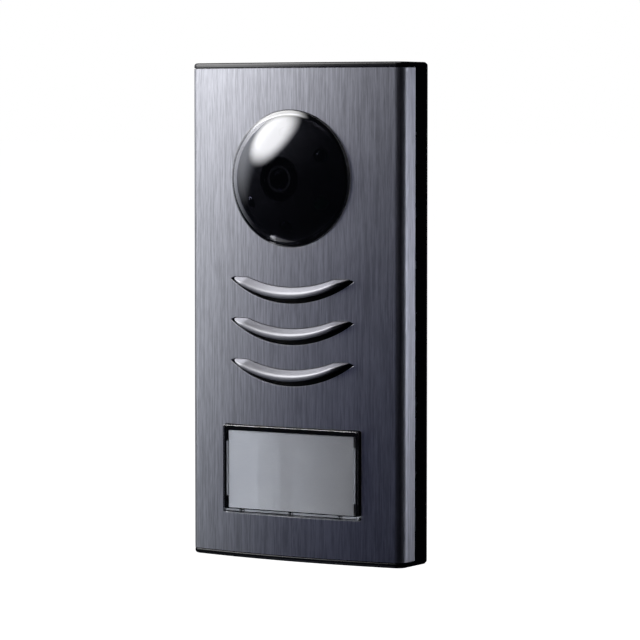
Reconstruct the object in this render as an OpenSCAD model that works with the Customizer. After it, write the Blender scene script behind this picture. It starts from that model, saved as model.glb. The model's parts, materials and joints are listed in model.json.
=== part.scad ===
// Door intercom panel: a surface-mounted video door station.
// The wall plane is Y = 0, the front faces -Y, +Z is up and X = 0 is the middle of the panel.
// Every depth below is a distance out from the wall, so a depth d lies at Y = -d.

/* [Panel] */
// Overall height, end caps included
panel_h = 198; // [196:1:204]
// Overall width
panel_w = 99; // [98:1:102]
// Depth from the wall to the crown of the bowed front
panel_d = 23.8; // [23.6:0.1:24.2]
// Radius of the bowed front
front_r = 292; // [280:1:340]
// Radius of the two long front edges
edge_r = 4.2; // [3.4:0.1:4.6]
// Thickness of the metal front
metal_t = 1.5; // [1.3:0.1:1.6]
// Depth at which the metal's sides end
metal_back = 10.2; // [9.8:0.1:10.6]
// Thickness of each end cap
cap_t = 2; // [2:0.1:2.6]

/* [Camera dome] */
// Height of the dome's centre above the panel's middle
dome_z = 53.1; // [50:0.1:56]
// Radius of the dome's rim
dome_r = 27; // [26.5:0.1:27.4]
// Depth of the dome's crown
dome_top = 36.2; // [36:0.1:38]
// Wall of the dome
dome_t = 1.6; // [1.2:0.1:1.8]
// Infrared lights around the lens
led_count = 6; // [4:1:8]

/* [Louvres] */
// Number of louvres
louvre_count = 3; // [2:1:3]
// Height of the top louvre's tips
louvre_z = 13; // [12:0.1:14]
// Distance from one louvre to the next
louvre_pitch = 16.4; // [15.5:0.1:17]
// Half the distance between a louvre's tips
louvre_half = 28.7; // [27:0.1:29]
// Drop of the upper edge at the middle
louvre_top_sag = 2.7; // [2.5:0.1:3]
// Height of the gap under each hood's lip
louvre_lip_gap = 2.1; // [1.9:0.1:2.3]
// Drop of the lower edge at the middle
louvre_low_sag = 9.3; // [9:0.1:9.8]

/* [Call button] */
// Width of the opening for the call button
window_w = 63.8; // [62:0.1:64.2]
// Height of that opening
window_h = 35.6; // [35:0.1:36]
// Height of the opening's centre, below the panel's middle
window_z = -63.2; // [-64:0.1:-62.5]
// Travel of the call button
button_travel = 1; // [0.6:0.1:1.2]

/* [Wall bracket] */
// Distance between the two wall-box screws
box_pitch = 60; // [60:0.5:61]
// Distance between the wall screws, across
wall_pitch_x = 60; // [56:1:62]
// Distance between the wall screws, up and down
wall_pitch_z = 140; // [136:1:142]

/* [Hidden] */
$fn = 96;

fine_fn = 720;          // facets on the large bowed front
reach = 60;             // longer than any hole that is cut right through

// Bowed front section
arc_cy = front_r - panel_d;
edge_cx = panel_w / 2 - edge_r;
edge_cy = arc_cy - sqrt(pow(front_r - edge_r, 2) - pow(edge_cx, 2));
seam = 0.3;             // shadow line between the metal and each end cap
seam_in = 0.5;          // how far the shadow line is set back
half_h = panel_h / 2;
metal_half = half_h - cap_t - seam;

// Depths of the layers, out from the wall
seal_d = 1.5;           // wall gasket
recess_d = 3;           // back of the housing, where the wall bracket lies
floor_d = 5;            // inside of the housing's back
board_d = 7;            // back of the main board
board_t = 1.6;
board_top = board_d + board_t;
lip_d = 14.5;           // end of the housing's lip, inside the metal
chassis_d = 16.4;       // back of the inner chassis
chassis_t = 2;
chassis_top = chassis_d + chassis_t;
insert_top = 20.2;      // front of what is pressed against the metal's inside

// Rear housing
wall_t = 2;
lip_t = 1.5;
lip_gap = 0.15;
bracket_w = 80;
bracket_low = -88;
bracket_high = 80;
bracket_t = 1.2;
box_screw_r = 2.1;
box_slot = 10;
wall_screw_r = 2.25;
hook_x = 14;
hook_z = 60;
hook_w = 8;
lock_d = 4.6;           // depth of the security screw's axis
lock_z = -90;           // top of the bracket's locking tab

// Fasteners
screw_r = 1.15;
pilot_r = 1.2;
clear_r = 1.6;
head_r = 2.7;
chassis_posts = [for (x = [-41.5, 41.5], z = [-86, 14, 86]) [x, z]];
board_posts = [for (x = [-33, 33], z = [-80, 16]) [x, z]];
cap_screw_x = 30;
cap_screw_d = 9;

// Camera dome and what it covers
dome_bevel = 1.7;       // width of the bevel around the rim
dome_side = 24.3;       // depth of the top of the rim's side
bevel_d = 25.4;
flange_r = 30;
flange_d = 19.9;
cap_base_r = dome_r - dome_bevel;
cap_rise = dome_top - bevel_d;
dome_ball = (pow(cap_base_r, 2) + pow(cap_rise, 2)) / (2 * cap_rise);
ball_d = dome_top - dome_ball;
dome_in_r = dome_r - 1.8;
camera_hole_r = 23.6;   // opening in the chassis
shroud_ball = dome_ball - 4;
shroud_t = 1.2;
shroud_r = 25;
shroud_hole_r = 8.6;
led_r = 2.5;
led_ring_r = 18.4;      // radius of the ring of lights, on the shroud
led_lean = asin(led_ring_r / shroud_ball);
led_base = 27.3;        // distance of a light's base from the dome's centre of curvature
led_board_d = 20.2;

// Camera gimbal
pivot_d = 16;
pin_r = 0.9;
pin_hole_r = 0.95;
gimbal_out = 17;
gimbal_in = 14;
gimbal_t = 3;
cradle_r = 13.2;
camera_size = 19;
holder_size = 13;
barrel_r = 6;
barrel_tip_r = 5.2;
barrel_top = 31;
camera_board_d = 12;

// Speaker
speaker_z = -8;
speaker_r = 25;
speaker_hole_r = 22;
mesh_r = 23.9;
mesh_t = 0.6;
pad_t = 0.8;
speaker_back = 11;

// Louvre insert
insert_w = 68;
insert_h = 50;
louvre_gap = 0.12;
hood_top = 27.2;        // depth of the hood's lip
hood_half = 27;         // where the hoods dip into the panel
hood_end_r = 7;         // rounding of the hoods towards their tips
louvre_top_r = 58;      // radius of the upper edge
tip_rise = 0.93;        // height of the shoulders beside each tip
tip_slope = 0.42;

// Call button
button_gap = 0.3;
button_top = 24.3;
window_t = 1.4;
label_t = 0.4;
label_w = 58.5;
label_top = window_z + window_h / 2 - 2.5;
label_low = window_z - window_h / 2 + 2;
carrier_top = button_top - window_t;
carrier_w = 62.6;
carrier_high = window_z + window_h / 2 - 0.6;
carrier_low = label_low - 0.2;
flange_t = 1.2;
flange_w = window_w + 3;
flange_h = window_h + 3;
rib_w = 1;
rib_h = 22;
slot_x = [-23, 0, 23];
switch_x = 14;
switch_size = 12;
switch_top = 12;
plunger_r = 3.4;
plunger_top = switch_top + button_travel + 0.5;
spring_x = 27;
spring_r = 2.7;
spring_wire = 0.3;
spring_turns = 4.5;

// Small electronics
trim_x = 20;
trim_z = -25;
trim_r = 2.4;
term_z = -52;
term_pitch = 5;
term_count = 5;
mic_x = 20;
mic_d = 11.5;
mic_r = 3;

// ---- helpers -------------------------------------------------------------------------------

// Outline drawn in X and Z, made solid from depth d0 out to depth d1
module layer(d0, d1)
    translate([0, -d0, 0]) rotate([90, 0, 0]) linear_extrude(d1 - d0) children();

// Cylinder standing out from the wall, from depth d0 to depth d1
module rod_out(r, d0, d1, x = 0, z = 0)
    translate([x, -d0, z]) rotate([90, 0, 0]) cylinder(r = r, h = d1 - d0);

// Ring standing out from the wall
module ring_out(r_out, r_in, d0, d1, x = 0, z = 0)
    difference() {
        rod_out(r_out, d0, d1, x, z);
        rod_out(r_in, d0 - 1, d1 + 1, x, z);
    }

// Section drawn as [radius, depth], turned around an axis that stands out from the wall
module turned(x = 0, z = 0)
    translate([x, 0, z]) rotate([90, 0, 0]) rotate_extrude() children();

// Block centred on [x, z], from depth d0 to depth d1
module block(w, h, d0, d1, x = 0, z = 0)
    translate([x - w / 2, -d1, z - h / 2]) cube([w, d1 - d0, h]);

module rod_up(r, z0, z1, x, d) translate([x, -d, z0]) cylinder(r = r, h = z1 - z0);

module rod_across(r, x0, x1, d, z)
    translate([x0, -d, z]) rotate([0, 90, 0]) cylinder(r = r, h = x1 - x0);

module rounded(w, h, r) {
    square([w - 2 * r, h], center = true);
    square([w, h - 2 * r], center = true);
    for (sx = [-1, 1], sz = [-1, 1])
        translate([sx * (w / 2 - r), sz * (h / 2 - r)]) circle(r = r);
}

// Cross-section of the panel, in X and Y, set in from the outside and ending at a depth
module section(inset, back) {
    intersection() {
        translate([0, arc_cy]) circle(r = front_r - inset, $fn = fine_fn);
        translate([-edge_cx, -panel_d]) square([2 * edge_cx, panel_d - back]);
    }
    for (side = [-1, 1]) translate([side * edge_cx, edge_cy]) circle(r = edge_r - inset);
    translate([-(panel_w / 2 - inset), edge_cy]) square([panel_w - 2 * inset, -back - edge_cy]);
}

// Radius of the louvres' lower edge, and the height of its centre above the tips
low_r = (louvre_half * louvre_half + louvre_low_sag * louvre_low_sag) / (2 * louvre_low_sag);
low_cz = low_r - louvre_low_sag;

// Louvre outline, its tips at z = 0: a crescent with a shoulder at each end and its lower edge lifted
module crescent(lift, inset) {
    flat_half = louvre_half - tip_rise / tip_slope;
    far = louvre_half + 10;
    foot = -10 * tip_slope - inset;
    difference() {
        intersection() {
            translate([0, low_cz + lift]) circle(r = low_r - inset);
            polygon([[-flat_half, tip_rise - inset], [flat_half, tip_rise - inset], [far, foot],
                [far, -louvre_half], [-far, -louvre_half], [-far, foot]]);
        }
        translate([0, louvre_top_r - louvre_top_sag]) circle(r = louvre_top_r + inset);
    }
}

module each_louvre()
    for (i = [0 : louvre_count - 1]) translate([0, louvre_z - i * louvre_pitch]) children();

module each_hood()
    for (i = [0 : louvre_count - 1]) translate([0, 0, louvre_z - i * louvre_pitch]) children();

module at_points(points) for (p = points) translate([p[0], 0, p[1]]) children();

// ---- shell ---------------------------------------------------------------------------------

module front_cover() color("slategray") difference() {
    translate([0, 0, -metal_half]) linear_extrude(2 * metal_half) difference() {
        section(0, metal_back);
        section(metal_t, -1);
    }
    rod_out(dome_r + 0.15, metal_back, reach, 0, dome_z);
    layer(metal_back, reach) each_louvre() crescent(0, 0);
    layer(metal_back, reach) translate([0, window_z]) rounded(window_w, window_h, 0.8);
}

// The cap for the top end: its outer face is at half_h
module cap_body() difference() {
    union() {
        translate([0, 0, half_h - cap_t]) linear_extrude(cap_t) section(0, seal_d);
        translate([0, 0, metal_half]) linear_extrude(seam + 0.01) section(seam_in, seal_d);
        translate([0, 0, metal_half - 2]) linear_extrude(2.01) intersection() {
            difference() {
                section(metal_t + 0.2, lip_d);
                section(metal_t + 1.6, 0);
            }
            translate([-panel_w / 2, -panel_d]) square([panel_w, panel_d - lip_d - 0.3]);
        }
    }
    for (x = [-cap_screw_x, cap_screw_x]) {
        rod_up(clear_r, 0, panel_h, x, cap_screw_d);
        translate([x, -cap_screw_d, half_h - 1.4]) cylinder(r1 = clear_r, r2 = 3, h = 1.41);
    }
}

module top_cap() color("dimgray") cap_body();

module bottom_cap() color("dimgray") difference() {
    mirror([0, 0, 1]) cap_body();
    rod_up(clear_r, -panel_h, 0, 0, lock_d);
    rod_up(3, -half_h - 1, -half_h + 1.2, 0, lock_d);
    rod_up(1, -panel_h, 0, mic_x, mic_d);
}

module cap_screws() color("silver")
    for (x = [-cap_screw_x, cap_screw_x], end = [0, 1]) mirror([0, 0, end]) difference() {
        union() {
            rod_up(screw_r, half_h - 12, half_h - 0.2, x, cap_screw_d);
            translate([x, -cap_screw_d, half_h - 1.5]) cylinder(r1 = clear_r - 0.3, r2 = 2.75, h = 1.4);
        }
        translate([x - 1.8, -cap_screw_d - 0.3, half_h - 0.6]) cube([3.6, 0.6, 1]);
        translate([x - 0.3, -cap_screw_d - 1.8, half_h - 0.6]) cube([0.6, 3.6, 1]);
    }

module rear_housing() color("black") difference() {
    union() {
        difference() {
            union() {
                block(panel_w, 2 * metal_half, seal_d, metal_back);
                block(panel_w - 2 * (metal_t + lip_gap), 2 * metal_half, metal_back - 1, lip_d);
            }
            block(panel_w - 2 * wall_t, 2 * (metal_half - wall_t), floor_d, metal_back);
            block(panel_w - 2 * (metal_t + lip_gap + lip_t), 2 * (metal_half - lip_t),
                floor_d + wall_t, reach);
            block(panel_w - 6, 2 * metal_half - 6.4, -1, recess_d);
        }
        at_points(chassis_posts) rod_out(3.6, floor_d - 1, board_d + 0.2);
        at_points(board_posts) rod_out(3, floor_d - 1, board_d);
        for (x = [-cap_screw_x, cap_screw_x], end = [0, 1]) mirror([0, 0, end])
            block(7, 10, floor_d - 1, 12.4, x, metal_half - 5.5);
        block(16, 10, recess_d, 10, 0, -metal_half + 6);
    }
    at_points(chassis_posts) {
        rod_out(clear_r, 0, reach);
        rod_out(3, 0, recess_d + clear_r);
    }
    at_points(board_posts) rod_out(1.1, 3.6, reach);
    for (x = [-cap_screw_x, cap_screw_x], end = [0, 1]) mirror([0, 0, end])
        rod_up(pilot_r, metal_half - 10.2, panel_h, x, cap_screw_d);
    block(13, 9, 0, 8.6, 0, -metal_half + 6);
    rod_up(clear_r + 0.1, -panel_h, lock_z, 0, lock_d);
    translate([-14, -board_d, term_z - 15]) cube([28, board_d, 21.5]);
    rod_out(3.2, 0, board_d, trim_x, trim_z);
    for (x = [-hook_x, hook_x]) block(hook_w + 1.2, 7.7, 0, board_d, x, hook_z - 1.85);
    rod_up(1, -panel_h, -metal_half + 4, mic_x, mic_d);
}

module housing_gasket() color("black") layer(0, seal_d) difference() {
    rounded(panel_w - 0.8, panel_h - 0.8, 1);
    square([panel_w - 6, 2 * metal_half - 6.4], center = true);
}

module wall_bracket() color("lightgray") {
    difference() {
        layer(0, bracket_t) translate([0, (bracket_low + bracket_high) / 2])
            rounded(bracket_w, bracket_high - bracket_low, 3);
        for (x = [-box_pitch / 2, box_pitch / 2]) {
            block(box_slot - 2 * box_screw_r, 2 * box_screw_r, -1, reach, x, 0);
            for (end = [-1, 1])
                rod_out(box_screw_r, -1, reach, x + end * (box_slot / 2 - box_screw_r), 0);
        }
        for (x = [-wall_pitch_x / 2, wall_pitch_x / 2], z = [-wall_pitch_z / 2, wall_pitch_z / 2])
            rod_out(wall_screw_r, -1, reach, x, z);
        layer(-1, reach) translate([0, -48]) rounded(48, 60, 3);
        for (x = [-hook_x, hook_x]) block(hook_w + 1, 9, -1, reach, x, hook_z + 4.5);
    }
    for (x = [-hook_x, hook_x]) {
        block(hook_w, 1.2, 0.2, 6.4, x, hook_z - 0.6);
        block(hook_w, 6, 5.2, 6.4, x, hook_z + 1.8);
    }
    difference() {
        block(12, 1.2, 0.2, 8, 0, lock_z + 0.6);
        rod_up(1.5, lock_z - 2, lock_z + 3, 0, lock_d);
    }
    block(12, 4, 0, bracket_t, 0, lock_z + 2);
}

module security_screw() color("silver") difference() {
    union() {
        rod_up(1.45, -half_h + 1, -88.5, 0, lock_d);
        rod_up(head_r, -half_h + 0.2, -half_h + 1.2, 0, lock_d);
    }
    translate([0, -lock_d, -half_h]) cylinder(r = 1.2, h = 0.9, $fn = 6);
}

module inner_chassis() color("black") difference() {
    union() {
        layer(chassis_d, chassis_top) rounded(92, 188, 2);
        at_points(chassis_posts) rod_out(3.4, board_d + 0.3, chassis_d + 0.5);
        block(window_w + 3, window_h + 3, chassis_top - 0.5, insert_top, 0, window_z);
    }
    rod_out(camera_hole_r, 0, reach, 0, dome_z);
    rod_out(speaker_hole_r, 0, reach, 0, speaker_z);
    rod_out(mesh_r + 0.2, chassis_top - mesh_t, reach, 0, speaker_z);
    block(window_w + 0.6, window_h + 0.6, 0, reach, 0, window_z);
    at_points(chassis_posts) rod_out(pilot_r, 0, chassis_d - 1.4);
    translate([0, 0, dome_z]) at_points(bracket_screw_points()) rod_out(0.9, 0, chassis_top - 0.2);
}

module chassis_screws() color("silver") at_points(chassis_posts) difference() {
    union() {
        rod_out(head_r, recess_d + 0.1, recess_d + clear_r);
        rod_out(screw_r, recess_d + 1, 14);
    }
    block(3.4, 0.6, 0, recess_d + 0.8);
    block(0.6, 3.4, 0, recess_d + 0.8);
}

// ---- louvres and speaker -------------------------------------------------------------------

module hood() intersection() {
    layer(chassis_top, reach) crescent(louvre_lip_gap, louvre_gap);
    translate([0, 0, -reach / 2]) linear_extrude(reach) hull() {
        for (side = [-1, 1])
            translate([side * (hood_half - hood_end_r), hood_end_r - hood_top]) circle(r = hood_end_r);
        translate([-hood_half, -chassis_top]) square([2 * hood_half, 1]);
    }
    turned(0, low_cz + louvre_lip_gap) polygon([[low_r - 9, 0], [low_r, 0], [low_r, hood_top - 0.4],
        [low_r - 0.4, hood_top], [low_r - 1.5, hood_top], [low_r - 2, hood_top - 0.2],
        [low_r - 2.6, hood_top - 0.9], [low_r - 4.7, panel_d - 0.1], [low_r - 9, panel_d - 0.1]]);
}

module louvre_insert() color("silver") union() {
    difference() {
        layer(chassis_top, insert_top) translate([0, speaker_z]) rounded(insert_w, insert_h, 2);
        layer(0, reach) each_louvre() difference() {
            crescent(0, louvre_gap);
            crescent(louvre_lip_gap, 0);
        }
    }
    each_hood() hood();
}

module speaker_mesh() color("black") rod_out(mesh_r, chassis_top - mesh_t, chassis_top, 0, speaker_z);

module speaker_gasket() color("black")
    ring_out(speaker_r, speaker_hole_r + 0.2, chassis_d - pad_t, chassis_d, 0, speaker_z);

module speaker_frame() color("gray") turned(0, speaker_z)
    polygon([[12, speaker_back - 0.8], [12.8, speaker_back - 0.8], [22.6, 13.6], [speaker_r, 14.4],
        [speaker_r, chassis_d - pad_t], [22, chassis_d - pad_t], [22, 14.9], [12, speaker_back + 0.6]]);

module speaker_cone() color("dimgray") turned(0, speaker_z)
    polygon([[0, 14.6], [3, 14.4], [6.5, 13], [7.5, 12.6], [14, 13.9], [19, 15], [20.4, 15.4], [21.8, 15],
        [21.8, 15.3], [20.4, 15.8], [19, 15.4], [14, 14.3], [7.5, 13.1], [3, 14.8], [0, 15]]);

module speaker_magnet() color("silver") {
    rod_out(11, board_top + 0.3, speaker_back, 0, speaker_z);
    rod_out(6, speaker_back - 0.5, 12.4, 0, speaker_z);
}

// ---- camera --------------------------------------------------------------------------------

module camera_dome() color("black", 0.6) difference() {
    union() {
        rod_out(flange_r, chassis_top, flange_d, 0, dome_z);
        rod_out(dome_r, flange_d - 0.5, dome_side, 0, dome_z);
        translate([0, -dome_side, dome_z]) rotate([90, 0, 0])
            cylinder(r1 = dome_r, r2 = cap_base_r, h = bevel_d - dome_side);
        intersection() {
            translate([0, -ball_d, dome_z]) sphere(r = dome_ball, $fn = 180);
            rod_out(cap_base_r, bevel_d - 0.2, reach, 0, dome_z);
        }
    }
    intersection() {
        translate([0, -ball_d, dome_z]) sphere(r = dome_ball - dome_t, $fn = 180);
        rod_out(dome_in_r, chassis_top - 1, reach, 0, dome_z);
    }
}

module dome_gasket() color("black")
    ring_out(flange_r, dome_r + 0.5, flange_d, flange_d + 0.8, 0, dome_z);

// Points one of the lights outwards: children are drawn along +Z from the centre of curvature
module each_led()
    for (i = [0 : led_count - 1]) translate([0, -ball_d, dome_z])
        rotate([0, i * 360 / led_count + 30, 0]) rotate([90, 0, 0]) rotate([0, led_lean, 0]) children();

module led_shroud() color("black") difference() {
    union() {
        intersection() {
            translate([0, -ball_d, dome_z]) difference() {
                sphere(r = shroud_ball, $fn = 180);
                sphere(r = shroud_ball - shroud_t, $fn = 180);
            }
            rod_out(shroud_r - 0.3, 19.6, reach, 0, dome_z);
        }
        ring_out(shroud_r, camera_hole_r + 0.2, chassis_top, 20.2, 0, dome_z);
    }
    rod_out(shroud_hole_r, 0, reach, 0, dome_z);
    each_led() cylinder(r = led_r + 0.4, h = reach);
}

module ir_led_board() color("darkgreen")
    ring_out(21, 13.5, led_board_d, led_board_d + 1, 0, dome_z);

module ir_leds() color("white") each_led() {
    translate([0, 0, led_base]) cylinder(r = led_r + 0.35, h = 0.8);
    translate([0, 0, led_base]) cylinder(r = led_r, h = 2.3);
    translate([0, 0, led_base + 2.3]) sphere(r = led_r);
}

function bracket_screw_points() = [for (a = [45 : 90 : 315]) [26 * cos(a), 26 * sin(a)]];

module camera_bracket() color("black") translate([0, 0, dome_z]) difference() {
    union() {
        ring_out(28, 18.2, 14.4, chassis_d);
        for (end = [-1, 1]) block(6, 4.4, pivot_d - 2.2, pivot_d + 2.2, 0, end * 20);
        for (a = [45 : 90 : 315]) rod_out(1.2, 15, led_board_d, 20.3 * cos(a), 20.3 * sin(a));
    }
    rod_up(pin_hole_r, -24, 24, 0, pivot_d);
    at_points(bracket_screw_points()) rod_out(1, 0, reach);
}

module bracket_screws() color("silver") translate([0, 0, dome_z]) at_points(bracket_screw_points()) {
    rod_out(1.8, 13.3, 14.4);
    rod_out(0.85, 14, 17.9);
}

module pan_frame() color("dimgray") translate([0, 0, dome_z]) difference() {
    union() {
        ring_out(gimbal_out, gimbal_in, pivot_d - gimbal_t / 2, pivot_d + gimbal_t / 2);
        for (end = [0, 1]) mirror([0, 0, end]) rod_up(pin_r, gimbal_in + 1, 21.8, 0, pivot_d);
    }
    rod_across(pin_hole_r, -reach, reach, pivot_d, 0);
}

module tilt_cradle() color("dimgray") translate([0, 0, dome_z]) {
    difference() {
        rod_out(cradle_r, pivot_d - 1.2, pivot_d + 1.2);
        block(holder_size + 0.2, holder_size + 0.2, 0, reach);
    }
    for (end = [0, 1]) mirror([end, 0, 0]) rod_across(pin_r, cradle_r - 1.2, gimbal_out - 0.4, pivot_d, 0);
}

module camera_board() color("darkgreen")
    block(camera_size, camera_size, camera_board_d, camera_board_d + 1, 0, dome_z);

module image_sensor() color("black")
    block(7, 7, camera_board_d + 1, camera_board_d + 1.9, 0, dome_z);

module lens_holder() color("black") translate([0, 0, dome_z]) difference() {
    union() {
        block(holder_size, holder_size, camera_board_d + 1, 17.6);
        rod_out(7.2, 17.4, 20.4);
    }
    block(10, 10, 0, 15.4);
    rod_out(barrel_r + 0.05, 0, reach);
}

module lens_barrel() color("black") difference() {
    union() {
        rod_out(barrel_r, 15.6, 26, 0, dome_z);
        rod_out(barrel_tip_r, 25, barrel_top, 0, dome_z);
    }
    rod_out(3.4, 0, reach, 0, dome_z);
    rod_out(4.25, 28.9, reach, 0, dome_z);
}

module lens_element() color("navy", 0.5) intersection() {
    rod_out(4.2, 28.95, reach, 0, dome_z);
    translate([0, -21.2, dome_z]) sphere(r = 9.6);
}

// ---- electronics ---------------------------------------------------------------------------

module main_board() color("darkgreen") difference() {
    layer(board_d, board_top) translate([0, -31]) rounded(72, 106, 1.5);
    at_points(board_posts) rod_out(1.4, 0, reach);
}

module board_screws() color("silver") at_points(board_posts) difference() {
    union() {
        rod_out(2.4, board_top, board_top + 1.4);
        rod_out(1.05, 4.2, board_top + 0.5);
    }
    block(3, 0.6, board_top + 0.8, reach);
    block(0.6, 3, board_top + 0.8, reach);
}

module board_chips() color("black") {
    block(14, 14, board_top, board_top + 1.6, -23, -22);
    block(10, 8, board_top, board_top + 1.6, 18, -38);
    block(10, 10, board_top, board_top + 1.6, 0, window_z - 8);
}

module capacitors() color("navy")
    at_points([[27, 14], [20, 18.2], [33, 7]]) rod_out(3.1, board_top, board_top + 6.5);

module relay() color("royalblue") block(12, 10, board_top, board_top + 6.2, -23.8, 15.5);

module terminal_block() color("green") difference() {
    block(term_count * term_pitch, 10, 0.8, board_d, 0, term_z);
    for (i = [0 : term_count - 1]) {
        rod_out(1.6, -1, 3.4, (i - (term_count - 1) / 2) * term_pitch, term_z + 1.5);
        rod_up(1.2, term_z - 6, term_z, (i - (term_count - 1) / 2) * term_pitch, 5);
    }
}

module terminal_screws() color("silver")
    for (i = [0 : term_count - 1]) difference() {
        rod_out(1.5, 1.6, 3.4, (i - (term_count - 1) / 2) * term_pitch, term_z + 1.5);
        block(3.4, 0.5, 0, 2.1, (i - (term_count - 1) / 2) * term_pitch, term_z + 1.5);
    }

module volume_trimmer() color("royalblue") difference() {
    block(6.6, 6.6, floor_d + 0.1, board_d, trim_x, trim_z);
    rod_out(1.05, 0, 6, trim_x, trim_z);
}

module trimmer_rotor() color("white") difference() {
    union() {
        rod_out(trim_r, 3.4, floor_d, trim_x, trim_z);
        rod_out(1, 4, 5.8, trim_x, trim_z);
    }
    block(3.6, 0.7, 0, 4, trim_x, trim_z);
}

module switch_bodies() color("black") for (x = [-switch_x, switch_x]) difference() {
    block(switch_size, switch_size, board_top, switch_top, x, window_z);
    rod_out(plunger_r + 0.05, board_top + 0.4, reach, x, window_z);
}

module switch_plungers() color("ivory") for (x = [-switch_x, switch_x])
    rod_out(plunger_r, 10.2, plunger_top, x, window_z);

module backlight_leds() color("white") for (x = [-9, 9], z = [-11, 11])
    block(3.5, 2.8, board_top, board_top + 1.9, x, window_z + z);

// Coil spring between the board and the carrier, swept along a helix
module spring(x) {
    sides = 8;
    rings = 22 * spring_turns;
    low = board_top + spring_wire;
    rise = chassis_d - flange_t - spring_wire - low;
    points = [for (i = [0 : rings], j = [0 : sides - 1])
        let (a = 360 * spring_turns * i / rings, b = 360 * j / sides,
            r = spring_r + spring_wire * cos(b))
        [x + r * cos(a), -(low + rise * i / rings + spring_wire * sin(b)), window_z + r * sin(a)]];
    faces = [for (i = [0 : rings - 1], j = [0 : sides - 1])
        [i * sides + j, i * sides + (j + 1) % sides,
            (i + 1) * sides + (j + 1) % sides, (i + 1) * sides + j]];
    ends = [[for (j = [sides - 1 : -1 : 0]) j], [for (j = [0 : sides - 1]) rings * sides + j]];
    polyhedron(points, concat(faces, ends));
}

module return_springs() color("silver") for (x = [-spring_x, spring_x]) spring(x);

// ---- call button ---------------------------------------------------------------------------

module button_carrier() color("black") {
    body_h = carrier_high - carrier_low;
    body_z = (carrier_high + carrier_low) / 2;
    difference() {
        union() {
            block(flange_w, flange_h, chassis_d - flange_t, chassis_d, 0, window_z);
            block(carrier_w, body_h, chassis_d - 0.5, carrier_top, 0, body_z);
        }
        block(label_w - 6, body_h - 8, 0, reach, 0, body_z);
        translate([-label_w / 2 - 1.2, -reach, carrier_low - 1])
            cube([label_w + 2.4, reach - (carrier_top - 2.6), label_top + 0.2 - carrier_low + 1]);
    }
    block(label_w - 4, 9, chassis_d - flange_t, chassis_d + 0.8, 0, window_z);
    for (x = [-switch_x, switch_x]) rod_out(3, plunger_top, chassis_d, x, window_z);
}

module label_diffuser() color("white")
    block(label_w, label_top - label_low, carrier_top - 2.6, carrier_top - 0.6, 0,
        (label_top + label_low) / 2);

module name_label() color("gray")
    block(label_w, label_top - label_low, carrier_top - 0.6, carrier_top - 0.6 + label_t, 0,
        (label_top + label_low) / 2);

module button_window() color("white", 0.4) difference() {
    union() {
        layer(carrier_top, button_top) translate([0, window_z])
            rounded(window_w - 2 * button_gap, window_h - 2 * button_gap, 0.8);
        translate([-(window_w / 2 - button_gap - 1), -carrier_top - 0.2,
            window_z - window_h / 2 + button_gap])
            cube([window_w - 2 * button_gap - 2, carrier_top - 18, 1.3]);
        for (x = [-1, 1]) block(rib_w - 0.2, rib_h, carrier_top - 1.2, carrier_top + 0.1,
            x * (label_w / 2 + 0.6), window_z);
    }
    for (x = slot_x) block(1.8, 0.8, 0, reach, x, window_z - window_h / 2 + button_gap + 0.8);
}

// ---- microphone ----------------------------------------------------------------------------

module microphone() color("silver") rod_up(mic_r, -94, -90, mic_x, mic_d);

module microphone_boot() color("black") difference() {
    rod_up(mic_r + 1.2, -94.6, -89.5, mic_x, mic_d);
    rod_up(mic_r + 0.05, -94.05, -89, mic_x, mic_d);
    rod_up(1, -96, -93, mic_x, mic_d);
}

front_cover();
top_cap();
bottom_cap();
cap_screws();
rear_housing();
housing_gasket();
wall_bracket();
security_screw();
inner_chassis();
chassis_screws();
louvre_insert();
speaker_mesh();
speaker_gasket();
speaker_frame();
speaker_cone();
speaker_magnet();
camera_dome();
dome_gasket();
led_shroud();
ir_led_board();
ir_leds();
camera_bracket();
bracket_screws();
pan_frame();
tilt_cradle();
camera_board();
image_sensor();
lens_holder();
lens_barrel();
lens_element();
main_board();
board_screws();
board_chips();
capacitors();
relay();
terminal_block();
terminal_screws();
volume_trimmer();
trimmer_rotor();
switch_bodies();
switch_plungers();
backlight_leds();
return_springs();
button_carrier();
label_diffuser();
name_label();
button_window();
microphone();
microphone_boot();
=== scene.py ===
import json
import math

import bmesh
import bpy
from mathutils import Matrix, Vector, geometry


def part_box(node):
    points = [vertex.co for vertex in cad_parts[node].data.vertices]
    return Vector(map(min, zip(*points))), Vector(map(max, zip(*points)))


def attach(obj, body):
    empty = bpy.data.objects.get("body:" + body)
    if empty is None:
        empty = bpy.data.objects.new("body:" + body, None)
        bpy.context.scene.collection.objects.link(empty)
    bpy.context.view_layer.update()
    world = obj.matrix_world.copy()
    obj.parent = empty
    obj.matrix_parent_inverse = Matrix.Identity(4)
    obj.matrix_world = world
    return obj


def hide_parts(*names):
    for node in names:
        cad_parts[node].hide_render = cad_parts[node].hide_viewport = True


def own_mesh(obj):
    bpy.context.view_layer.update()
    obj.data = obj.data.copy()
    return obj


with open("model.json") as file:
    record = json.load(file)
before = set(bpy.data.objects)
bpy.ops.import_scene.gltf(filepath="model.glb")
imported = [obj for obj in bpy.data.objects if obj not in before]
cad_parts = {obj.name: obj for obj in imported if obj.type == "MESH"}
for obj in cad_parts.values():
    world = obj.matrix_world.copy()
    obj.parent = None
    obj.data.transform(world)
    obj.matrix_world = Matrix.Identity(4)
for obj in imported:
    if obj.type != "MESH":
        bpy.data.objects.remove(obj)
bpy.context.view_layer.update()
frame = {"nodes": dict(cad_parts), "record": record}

MM = 0.001

# ---- sizes, from the frame and the design ---------------------------------------------------

cover_low, cover_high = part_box("front_cover")
HALF_W = cover_high.x
CROWN = -cover_low.y
METAL_HALF = cover_high.z
METAL_BACK = -cover_high.y
METAL_T = 1.5 * MM
FRONT_R = 292 * MM            # radius of the bowed front
EDGE_R = 4.2 * MM             # radius of its long edges
RIM = 0.2 * MM                # rounding of the edges of the metal's openings

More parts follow.
